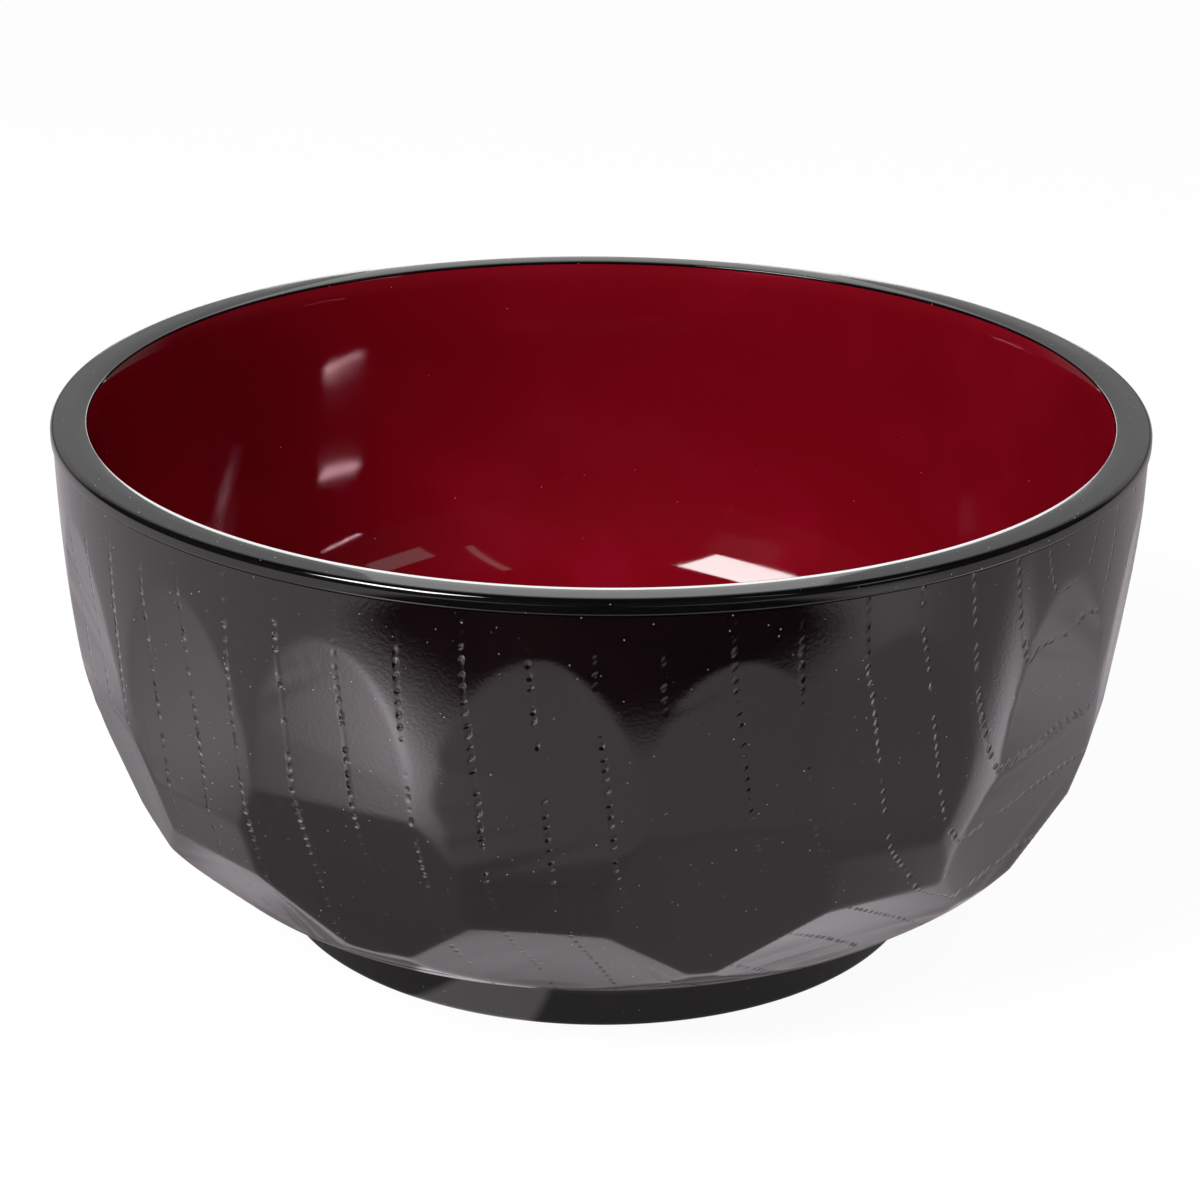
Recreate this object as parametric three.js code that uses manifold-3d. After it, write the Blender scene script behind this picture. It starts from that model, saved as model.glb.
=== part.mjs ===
// Lacquered miso soup bowl: a black cup carved with flat facets, a red lining, a black lip ring and a foot ring.
// Millimetres, +Z up. The origin is on the table, under the middle of the foot.
// Azimuth 0 faces the viewer along -Y, and azimuth grows towards +X.

import * as THREE from 'three';
import { mergeVertices } from 'three/addons/utils/BufferGeometryUtils.js';
import Module from 'manifold-3d';

const wasm = await Module();
wasm.setup();

// Overall sizes
const rimDiameter = 120;
const bowlHeight = 58;
const footDiameter = 74;
const footHeight = 6.6;
const clearance = 0.3;

// Lip ring
const lipWidth = 3.9;
const lipHeight = 1.6;
const lipOverhang = 0.25;
const lipRounding = 0.7;
const lipInnerRounding = 0.3;
const lipLowerRounding = 0.25;
const skirtThickness = 1;
const skirtDepth = 3;

// Red lining
const liningThickness = 0.8;
const liningSetback = 0.3;
const floorHeight = 10;
const floorSpread = 3;
const innerCornerHeight = 7;

// Cup wall before carving
const undersideReach = 9.5;
const undersideRise = 3.05;
const edgeRounding = 0.6;
const edgePull = 5.9;
const edgeAngle = 43;
const wallPull = 3.7;
const wallLean = 0.7;
const recessHeight = 6;

// Foot ring
const footWidth = 3.8;
const footTenon = 1.6;
const footRounding = 0.8;

// Facets: nine long arches, and nine short arches with a hexagon under each
const columnCount = 9;
const longAzimuth = -7.2;
const shortAzimuth = 13.3;
const longDrift = 3.3;
const driftSwings = 3;
const driftColumn = 1;
const archDrift = 0.4;
const smoothBand = 3.5;
const shortArchDrop = 0.4;
const lowerRow = 11;
const quadRow = 6.5;
const hexagonPoint = 4.6;
const hexagonRow = 18.35;
const quadTopDepth = 3.05;
const quadBottomDepth = 5.1;
const hexagonTopDepth = 2.3;
const hexagonPointDepth = 7.95;

// How finely round shapes are stepped
const wallSteps = 90;
const turnSteps = 72;
const curveSteps = 12;
const roundingSteps = 3;
const searchTolerance = 1e-6;

// Sizes worked out from the ones above
const rimRadius = rimDiameter / 2;
const footRadius = footDiameter / 2;
const footInnerRadius = footRadius - footWidth;
const lipInnerRadius = rimRadius - lipWidth;
const lipBottom = bowlHeight - lipHeight;
const skirtBottom = lipBottom - skirtDepth;
const mouthRadius = lipInnerRadius - clearance - liningThickness;
const liningTop = bowlHeight - liningSetback;
const wallRadius = rimRadius - lipOverhang;
const wallTop = lipBottom - clearance;
const edgeRadius = footRadius + undersideReach;
const edgeHeight = footHeight + undersideRise;
const archTop = wallTop - smoothBand;
const lowerTop = edgeHeight + lowerRow;
const quadTop = lowerTop + quadRow;
const hexagonPointHeight = edgeHeight + hexagonPoint;
const hexagonTop = hexagonPointHeight + hexagonRow;

const point = (radius, height) => new THREE.Vector2(radius, height);

// Section curves, as radius and height
const innerCurve = new THREE.CubicBezierCurve(
  point(0, floorHeight),
  point(mouthRadius - floorSpread, floorHeight),
  point(mouthRadius, floorHeight + innerCornerHeight),
  point(mouthRadius, liningTop),
);

const edgeDirection = THREE.MathUtils.degToRad(edgeAngle);
const wallCurve = new THREE.CubicBezierCurve(
  point(edgeRadius, edgeHeight),
  point(edgeRadius + edgePull * Math.cos(edgeDirection), edgeHeight + edgePull * Math.sin(edgeDirection)),
  point(wallRadius - wallLean, edgeHeight + wallPull),
  point(wallRadius, wallTop),
);

// Points along a section curve, moved outwards from the bowl's inside
function offsetPoints(curve, distance) {
  const points = [];
  for (let step = 0; step <= curveSteps; step += 1) {
    const place = step / curveSteps;
    const tangent = curve.getTangent(place);
    points.push(curve.getPoint(place).add(point(tangent.y, -tangent.x).multiplyScalar(distance)));
  }
  return points;
}

// Radius of the uncarved wall at a height
function wallRadiusAt(height) {
  let low = 0;
  let high = 1;
  while (high - low > searchTolerance) {
    const middle = (low + high) / 2;
    if (wallCurve.getPoint(middle).y < height) {
      low = middle;
    } else {
      high = middle;
    }
  }
  return wallCurve.getPoint(low).x;
}

// A section turned about the bowl's axis, with shared points merged
function turned(points, steps) {
  const geometry = new THREE.LatheGeometry(points, steps).rotateX(Math.PI / 2);
  return mergedGeometry(geometry);
}

function mergedGeometry(geometry) {
  geometry.deleteAttribute('normal');
  geometry.deleteAttribute('uv');
  const merged = mergeVertices(geometry);
  const index = merged.index.array;
  const kept = [];
  for (let corner = 0; corner < index.length; corner += 3) {
    const [a, b, c] = index.slice(corner, corner + 3);
    if (a !== b && b !== c && c !== a) {
      kept.push(a, b, c);
    }
  }
  merged.setIndex(kept);
  return merged;
}

function toSolid(geometry) {
  const mesh = new wasm.Mesh({
    numProp: 3,
    vertProperties: new Float32Array(geometry.attributes.position.array),
    triVerts: new Uint32Array(geometry.index.array),
  });
  return new wasm.Manifold(mesh);
}

function toGeometry(solid) {
  const mesh = solid.getMesh();
  const geometry = new THREE.BufferGeometry();
  geometry.setAttribute('position', new THREE.BufferAttribute(mesh.vertProperties, 3));
  geometry.setIndex(new THREE.BufferAttribute(mesh.triVerts, 1));
  return geometry;
}

// Block of waste outside a flat facet that passes through two points of the section at an azimuth
function wasteBlock(azimuth, upper, lower) {
  const outward = new THREE.Vector3(Math.sin(azimuth), -Math.cos(azimuth), 0);
  const side = new THREE.Vector3(Math.cos(azimuth), Math.sin(azimuth), 0);
  const top = outward.clone().multiplyScalar(upper.x).setZ(upper.y);
  const bottom = outward.clone().multiplyScalar(lower.x).setZ(lower.y);
  const along = top.clone().sub(bottom).normalize();
  const away = new THREE.Vector3().crossVectors(side, along);
  const size = rimDiameter / 2;
  const centre = top.add(bottom).multiplyScalar(0.5).addScaledVector(away, size / 2);
  const placed = new THREE.Matrix4().makeBasis(side, along, away).setPosition(centre);
  return toSolid(mergedGeometry(new THREE.BoxGeometry(size, bowlHeight, size).applyMatrix4(placed)));
}

// Cuts one column of facets, whose section is a broken line from the arch's top down
function carveColumn(solid, azimuth, section) {
  let carved = solid;
  for (let facet = 0; facet + 1 < section.length; facet += 1) {
    carved = carved.subtract(wasteBlock(azimuth, section[facet], section[facet + 1]));
  }
  return carved;
}

function longSection(top) {
  return [
    point(wallRadiusAt(top), top),
    point(wallRadius - quadTopDepth, quadTop),
    point(wallRadius - quadBottomDepth, lowerTop),
    point(edgeRadius, edgeHeight),
  ];
}

function shortSection(top) {
  return [
    point(wallRadiusAt(top), top),
    point(wallRadius - hexagonTopDepth, hexagonTop),
    point(wallRadius - hexagonPointDepth, hexagonPointHeight),
  ];
}

// Cup: turned wall with a groove for the foot and a rebate for the lip, then carved all round
function cupGeometry() {
  const grooveTop = footHeight + footTenon + clearance;
  const grooveInner = footInnerRadius - clearance;
  const grooveOuter = footRadius + clearance;
  const rebateFloor = skirtBottom - clearance;
  const rebateRadius = lipInnerRadius + skirtThickness + clearance;
  const underside = new THREE.Path();
  underside.moveTo(0, recessHeight);
  underside.lineTo(grooveInner, recessHeight);
  underside.lineTo(grooveInner, grooveTop);
  underside.lineTo(grooveOuter, grooveTop);
  underside.lineTo(grooveOuter, footHeight);
  const slope = point(edgeRadius - grooveOuter, undersideRise).normalize();
  const start = point(edgeRadius, edgeHeight).addScaledVector(slope, -edgeRounding);
  const end = wallCurve.getPointAt(edgeRounding / wallCurve.getLength());
  underside.lineTo(start.x, start.y);
  underside.quadraticCurveTo(edgeRadius, edgeHeight, end.x, end.y);
  const wall = wallCurve.getPoints(curveSteps).filter((spot) => spot.y > end.y);
  const inside = offsetPoints(innerCurve, liningThickness + clearance).filter((spot) => spot.y < rebateFloor);
  const profile = [
    ...underside.getPoints(roundingSteps),
    ...wall,
    point(rebateRadius, wallTop),
    point(rebateRadius, rebateFloor),
    point(lipInnerRadius, rebateFloor),
    ...inside.reverse(),
  ];
  let solid = toSolid(turned(profile, wallSteps));
  const pitch = (2 * Math.PI) / columnCount;
  for (let column = 0; column < columnCount; column += 1) {
    const swing = Math.cos(driftSwings * (column - driftColumn) * pitch);
    const longAngle = THREE.MathUtils.degToRad(longAzimuth - longDrift * swing) + column * pitch;
    const shortAngle = THREE.MathUtils.degToRad(shortAzimuth) + column * pitch;
    solid = carveColumn(solid, longAngle, longSection(archTop - archDrift * swing));
    solid = carveColumn(solid, shortAngle, shortSection(archTop - shortArchDrop + archDrift * swing));
  }
  return toGeometry(solid);
}

// Lining: an even shell behind the red surface
function liningGeometry() {
  const inner = offsetPoints(innerCurve, 0);
  const outer = offsetPoints(innerCurve, liningThickness);
  return turned([...outer, ...inner.reverse()], turnSteps);
}

// Lip: a rounded ring with a skirt that drops into the cup's rebate
function lipGeometry() {
  const section = new THREE.Path();
  const skirtRadius = lipInnerRadius + skirtThickness;
  section.moveTo(lipInnerRadius, skirtBottom);
  section.lineTo(skirtRadius, skirtBottom);
  section.lineTo(skirtRadius, lipBottom);
  section.lineTo(rimRadius - lipLowerRounding, lipBottom);
  section.quadraticCurveTo(rimRadius, lipBottom, rimRadius, lipBottom + lipLowerRounding);
  section.lineTo(rimRadius, bowlHeight - lipRounding);
  section.absarc(rimRadius - lipRounding, bowlHeight - lipRounding, lipRounding, 0, Math.PI / 2);
  section.lineTo(lipInnerRadius + lipInnerRounding, bowlHeight);
  section.quadraticCurveTo(lipInnerRadius, bowlHeight, lipInnerRadius, bowlHeight - lipInnerRounding);
  section.lineTo(lipInnerRadius, skirtBottom);
  return turned(section.getPoints(roundingSteps), turnSteps);
}

// Foot: a plain ring with rounded lower edges, let into the cup's groove
function footGeometry() {
  const section = new THREE.Path();
  const top = footHeight + footTenon;
  section.moveTo(footInnerRadius, top);
  section.lineTo(footInnerRadius, footRounding);
  section.quadraticCurveTo(footInnerRadius, 0, footInnerRadius + footRounding, 0);
  section.lineTo(footRadius - footRounding, 0);
  section.quadraticCurveTo(footRadius, 0, footRadius, footRounding);
  section.lineTo(footRadius, top);
  section.lineTo(footInnerRadius, top);
  return turned(section.getPoints(roundingSteps), turnSteps);
}

const blackLacquer = { color: 0x121012, roughness: 0.12, metalness: 0 };
const redLacquer = { color: 0x7d0716, roughness: 0.15, metalness: 0 };

function addPiece(group, name, geometry, finish) {
  const piece = new THREE.Mesh(geometry, new THREE.MeshStandardMaterial(finish));
  piece.name = name;
  group.add(piece);
}

const bowl = new THREE.Group();
addPiece(bowl, 'bowl_body', cupGeometry(), blackLacquer);
addPiece(bowl, 'red_lining', liningGeometry(), redLacquer);
addPiece(bowl, 'rim_band', lipGeometry(), blackLacquer);
addPiece(bowl, 'foot_ring', footGeometry(), blackLacquer);

export default bowl;
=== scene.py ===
"""Lacquered miso soup bowl: carved black cup, red lining, smooth black lip and turned foot."""

import logging
import math
from bisect import bisect_left
from dataclasses import dataclass
from enum import Enum
from typing import Callable, Sequence

import bpy
from mathutils import Matrix, Vector


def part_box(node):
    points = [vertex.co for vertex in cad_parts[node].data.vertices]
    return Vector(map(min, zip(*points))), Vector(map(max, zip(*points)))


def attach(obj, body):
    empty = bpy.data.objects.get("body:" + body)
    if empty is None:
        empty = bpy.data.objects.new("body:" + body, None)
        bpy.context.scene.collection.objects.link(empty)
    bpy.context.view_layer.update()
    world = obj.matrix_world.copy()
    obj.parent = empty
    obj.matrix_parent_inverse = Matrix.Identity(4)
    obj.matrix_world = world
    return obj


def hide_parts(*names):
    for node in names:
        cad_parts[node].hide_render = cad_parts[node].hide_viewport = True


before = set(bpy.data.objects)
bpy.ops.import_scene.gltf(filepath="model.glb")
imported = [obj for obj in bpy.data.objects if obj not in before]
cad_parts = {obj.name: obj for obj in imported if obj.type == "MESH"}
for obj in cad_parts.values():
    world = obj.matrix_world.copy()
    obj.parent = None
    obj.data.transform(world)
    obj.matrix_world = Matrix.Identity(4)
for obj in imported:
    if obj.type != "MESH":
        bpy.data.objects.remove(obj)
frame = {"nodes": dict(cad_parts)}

MM = 0.001
FULL_TURN = 2.0 * math.pi
# Vertices closer than this are welded after a spin
WELD_REACH = 0.002 * MM
# The bump nodes take a finish's depths as shares of this height
BUMP_UNIT = 0.1 * MM
# Steps of a curve for each row that it is evened into
CURVE_FINENESS = 6

log = logging.getLogger("soup_bowl")

Point = tuple[float, float]
Colour = tuple[float, float, float]
Socket = bpy.types.NodeSocket
Sockets = dict[str, Socket]


class Slot(Enum):
    """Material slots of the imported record."""

    BLACK = "black_lacquer"
    RED = "red_lacquer"


class Ray(Enum):
    """Outputs of the Light Path node that the stage reads."""

    CAMERA = "Is Camera Ray"
    GLOSSY = "Is Glossy Ray"
    TRANSMISSION = "Is Transmission Ray"


# Section drawing


def bezier(corners: Sequence[Point], count: int) -> list[Point]:
    """Steps along a cubic curve of four control points.

    Args:
        corners: the four control points, as radius and height in millimetres.
        count: the number of steps.

    Returns:
        The points from the first corner to the last.
    """
    points = []
    for step in range(count + 1):
        t = step / count
        s = 1.0 - t
        weights = (s ** 3, 3.0 * s * s * t, 3.0 * s * t * t, t ** 3)
        radius = sum(weight * corner[0] for weight, corner in zip(weights, corners))
        height = sum(weight * corner[1] for weight, corner in zip(weights, corners))
        points.append((radius, height))
    return points


def heading(degrees: float) -> Point:
    """Gives the cosine and the sine of an angle in degrees."""
    angle = math.radians(degrees)
    return math.cos(angle), math.sin(angle)


def arc(centre: Point, radius: float, start: float, end: float, count: int) -> list[Point]:
    """Steps along a round corner.

    Args:
        centre: the corner's centre, as radius and height in millimetres.
        radius: the corner's radius.
        start: the first angle in degrees, 0 pointing away from the axis and 90 up.
        end: the last angle in degrees.
        count: the number of steps.

    Returns:
        The points from start to end.
    """
    points = []
    for step in range(count + 1):
        cosine, sine = heading(start + (end - start) * step / count)
        points.append((centre[0] + radius * cosine, centre[1] + radius * sine))
    return points


def between(before: Point, after: Point, share: float) -> Point:
    """Finds the point at a share of the way from one point to another."""
    return before[0] + (after[0] - before[0]) * share, before[1] + (after[1] - before[1]) * share


def evened(points: Sequence[Point], count: int) -> list[Point]:
    """Steps of equal length along a section line.

    Args:
        points: a finely stepped line, as radius and height in millimetres.
        count: the number of equal steps.

    Returns:
        The points from the line's start to its end.
    """
    lengths = [0.0]
    for before, after in zip(points, points[1:]):
        lengths.append(lengths[-1] + math.dist(before, after))
    even = []
    index = 0
    for step in range(count + 1):
        wanted = lengths[-1] * step / count
        while index < len(points) - 2 and lengths[index + 1] < wanted:
            index += 1
        share = (wanted - lengths[index]) / (lengths[index + 1] - lengths[index])
        even.append(between(points[index], points[index + 1], share))
    return even


def outset(points: Sequence[Point], distance: float) -> list[Point]:
    """Moves a section line to its right-hand side, looking along it.

    Args:
        points: the section line, as radius and height in millimetres.
        distance: how far it moves.

    Returns:
        The moved points.
    """
    moved = []
    last = len(points) - 1
    for index, (radius, height) in enumerate(points):
        before = points[max(index - 1, 0)]
        after = points[min(index + 1, last)]
        across = after[0] - before[0]
        along = after[1] - before[1]
        length = math.hypot(across, along)
        moved.append((max(radius + distance * along / length, 0.0), height - distance * across / length))
    return moved


def radius_at(points: Sequence[Point], height: float) -> float:
    """Radius of a rising section line at a height.

    Args:
        points: the line from bottom to top, as radius and height in millimetres.
        height: the height asked for.

    Returns:
        The radius there, or that of the nearer end.
    """
    index = bisect_left(points, height, key=lambda spot: spot[1])
    if index == 0 or index == len(points):
        return points[max(index - 1, 0)][0]
    before, after = points[index - 1], points[index]
    share = (height - before[1]) / (after[1] - before[1])
    return between(before, after, share)[0]


# Modelling with hand tools


def pick(piece: bpy.types.Object) -> None:
    """Selects one object alone and makes it active."""
    bpy.ops.object.select_all(action="DESELECT")
    bpy.context.view_layer.objects.active = piece
    piece.select_set(True)


def turn_section(name: str, section: Sequence[Point], steps: int) -> bpy.types.Object:
    """Draws a section as a line of vertices and spins it about the bowl's axis.

    Args:
        name: the new object's name.
        section: points as radius and height in millimetres, from axis to axis or closed on itself.
        steps: the number of steps in the full turn.

    Returns:
        The closed, turned object.
    """
    bpy.ops.object.select_all(action="DESELECT")
    bpy.ops.mesh.primitive_plane_add(size=MM)
    piece = bpy.context.object
    piece.name = name
    piece.data.name = name
    bpy.ops.object.mode_set(mode="EDIT")
    bpy.ops.mesh.merge(type="CENTER")
    bpy.ops.transform.translate(value=(section[0][0] * MM, 0.0, section[0][1] * MM))
    for before, after in zip(section, section[1:]):
        shift = ((after[0] - before[0]) * MM, 0.0, (after[1] - before[1]) * MM)
        bpy.ops.mesh.extrude_region_move(TRANSFORM_OT_translate={"value": shift})
    bpy.ops.mesh.select_all(action="SELECT")
    bpy.ops.mesh.spin(steps=steps, angle=FULL_TURN, center=(0.0, 0.0, 0.0), axis=(0.0, 0.0, 1.0))
    bpy.ops.mesh.select_all(action="SELECT")
    bpy.ops.mesh.remove_doubles(threshold=WELD_REACH)
    bpy.ops.mesh.normals_make_consistent(inside=False)
    bpy.ops.object.mode_set(mode="OBJECT")
    return piece


def apply_modifier(piece: bpy.types.Object, modifier: bpy.types.Modifier) -> None:
    """Applies one modifier to the piece that carries it."""
    pick(piece)
    bpy.ops.object.modifier_apply(modifier=modifier.name)


def shade(piece: bpy.types.Object, degrees: float) -> None:
    """Shades a piece smooth, apart from edges sharper than an angle in degrees."""
    pick(piece)
    bpy.ops.object.shade_smooth_by_angle(angle=math.radians(degrees))


def mark_group(
    piece: bpy.types.Object, name: str, weigh: Callable[[bpy.types.MeshVertex], float]
) -> None:
    """Weighs every vertex of a piece.

    Args:
        piece: the object to mark.
        name: the vertex group's name.
        weigh: gives a vertex's weight.
    """
    group = piece.vertex_groups.new(name=name)
    for vertex in piece.data.vertices:
        weight = weigh(vertex)
        if weight > 0.0:
            group.add([vertex.index], weight, "REPLACE")


# Shader building


@dataclass
class NodeDesk:
    """Adds and links nodes in one shader tree."""

    tree: bpy.types.NodeTree

    def add(self, kind: str, **settings: object) -> bpy.types.Node:
        """Adds a node of a kind, with properties such as its operation."""
        node = self.tree.nodes.new(kind)
        for name, value in settings.items():
            setattr(node, name, value)
        return node

    def feed(self, socket: Socket, value: object) -> None:
        """Links an input to an output socket, or sets it to a number or a tuple."""
        if isinstance(value, Socket):
            self.tree.links.new(value, socket)
        else:
            socket.default_value = value

    def math(self, operation: str, *values: object) -> Socket:
        """Adds a Math node, with sockets or numbers as its inputs."""
        node = self.add("ShaderNodeMath", operation=operation)
        for socket, value in zip(node.inputs, values):
            self.feed(socket, value)
        return node.outputs["Value"]

    def times(self, first: object, second: object) -> Socket:
        """Multiplies two sockets or numbers."""
        return self.math("MULTIPLY", first, second)

    def fade(
        self, value: object, low: float, high: float, start: object = 0.0, end: object = 1.0
    ) -> Socket:
        """Adds a smooth step from one value to another.

        Args:
            value: the input's socket.
            low: where the step starts.
            high: where the step ends.
            start: the result below low, a number or a socket.
            end: the result above high, a number or a socket.

        Returns:
            The result's socket.
        """
        node = self.add("ShaderNodeMapRange", interpolation_type="SMOOTHSTEP")
        for name, number in (("From Min", low), ("From Max", high), ("To Min", start), ("To Max", end)):
            self.feed(node.inputs[name], number)
        self.feed(node.inputs["Value"], value)
        return node.outputs["Result"]

    def noise(self, place: Socket, pitch: float, detail: float = 2.0) -> Socket:
        """Adds a noise texture of a pitch in metres, whose value is about 0.5 on average."""
        node = self.add("ShaderNodeTexNoise")
        node.inputs["Scale"].default_value = 1.0 / pitch
        node.inputs["Detail"].default_value = detail
        self.feed(node.inputs["Vector"], place)
        return node.outputs["Fac"]

    def cells(self, place: Socket, pitch: float) -> bpy.types.Node:
        """Adds a Voronoi texture, whose cells are about a pitch in metres across."""
        node = self.add("ShaderNodeTexVoronoi")
        node.inputs["Scale"].default_value = 1.0 / pitch
        self.feed(node.inputs["Vector"], place)
        return node

    def reach(self, x: Socket, y: Socket) -> Socket:
        """Finds the distance from the axis of a place with two level coordinates."""
        return self.math("SQRT", self.math("MULTIPLY_ADD", x, x, self.times(y, y)))

    def split(self, place: Socket) -> tuple[Socket, ...]:
        """Splits a vector into its three parts."""
        node = self.add("ShaderNodeSeparateXYZ")
        self.feed(node.inputs["Vector"], place)
        return tuple(node.outputs)

    def vector(self, x: object, y: object, z: object) -> Socket:
        """Joins three numbers into a vector."""
        node = self.add("ShaderNodeCombineXYZ")
        for socket, value in zip(node.inputs, (x, y, z)):
            self.feed(socket, value)
        return node.outputs["Vector"]

    def mix(self, share: object, first: object, second: object) -> Socket:
        """Mixes two colours, given as sockets or four numbers, by the share of the second one."""
        node = self.add("ShaderNodeMix", data_type="RGBA")
        named = {socket.identifier: socket for socket in node.inputs}
        self.feed(named["Factor_Float"], share)
        self.feed(named["A_Color"], first)
        self.feed(named["B_Color"], second)
        return next(socket for socket in node.outputs if socket.identifier == "Result_Color")

    def blend(self, share: object, first: Socket, second: Socket) -> Socket:
        """Mixes two shaders by the share of the second one."""
        node = self.add("ShaderNodeMixShader")
        for socket, value in zip(node.inputs, (share, first, second)):
            self.feed(socket, value)
        return node.outputs["Shader"]

    def emission(self, strength: object, colour: Colour = (1.0, 1.0, 1.0)) -> Socket:
        """Adds a shader that glows with a strength and a colour."""
        node = self.add("ShaderNodeEmission")
        node.inputs["Color"].default_value = (*colour, 1.0)
        self.feed(node.inputs["Strength"], strength)
        return node.outputs["Emission"]

    def effect(self, group: bpy.types.NodeTree, **values: object) -> bpy.types.Node:
        """Places a node group, with sockets or numbers as its inputs by name."""
        node = self.add("ShaderNodeGroup", node_tree=group)
        for name, value in values.items():
            self.feed(node.inputs[name], value)
        return node


def new_effect(
    name: str, inputs: dict[str, str], outputs: Sequence[str]
) -> tuple[NodeDesk, Sockets, Sockets]:
    """Starts a shader node group.

    Args:
        name: the group's name.
        inputs: socket type names by input name.
        outputs: names of the outputs, which are all numbers.

    Returns:
        The group's desk, its input sockets and its output sockets, by name.
    """
    tree = bpy.data.node_groups.new(name, "ShaderNodeTree")
    for label, kind in inputs.items():
        tree.interface.new_socket(name=label, in_out="INPUT", socket_type=kind)
    for label in outputs:
        tree.interface.new_socket(name=label, in_out="OUTPUT", socket_type="NodeSocketFloat")
    desk = NodeDesk(tree)
    entry = desk.add("NodeGroupInput")
    leave = desk.add("NodeGroupOutput")
    given = {label: entry.outputs[label] for label in inputs}
    wanted = {label: leave.inputs[label] for label in outputs}
    return desk, given, wanted


# Finishes


@dataclass(frozen=True)
class LacquerSkin:
    """Effect shared by every lacquered surface: ripple, fine grain, smudged gloss and specks of dust."""

    label: str = "lacquer_skin"
    ripple_pitch: float = 3.2 * MM
    grain_pitch: float = 0.4 * MM
    ripple_detail: float = 1.0
    smudge_pitch: float = 14.0 * MM
    smudge_detail: float = 3.0
    smudge_edge: Point = (0.4, 0.75)
    speck_pitch: float = 1.1 * MM
    speck_edge: Point = (0.04, 0.08)

    def group(self) -> bpy.types.NodeTree:
        """Builds the effect's node group once and returns it."""
        if self.label in bpy.data.node_groups:
            return bpy.data.node_groups[self.label]
        desk, given, wanted = new_effect(
            self.label,
            {"Place": "NodeSocketVector", "Speck Share": "NodeSocketFloat"},
            ("Ripple", "Grain", "Smudge", "Specks"),
        )
        place = given["Place"]
        desk.feed(wanted["Ripple"], desk.noise(place, self.ripple_pitch, self.ripple_detail))
        desk.feed(wanted["Grain"], desk.noise(place, self.grain_pitch))
        smudge = desk.noise(place, self.smudge_pitch, self.smudge_detail)
        desk.feed(wanted["Smudge"], desk.fade(smudge, *self.smudge_edge))
        cells = desk.cells(place, self.speck_pitch)
        dot = desk.fade(cells.outputs["Distance"], *self.speck_edge, 1.0, 0.0)
        lot, level, _ = desk.split(cells.outputs["Color"])
        chosen = desk.math("LESS_THAN", lot, given["Speck Share"])
        faint = desk.times(level, chosen)
        desk.feed(wanted["Specks"], desk.times(dot, faint))
        return desk.tree


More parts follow.
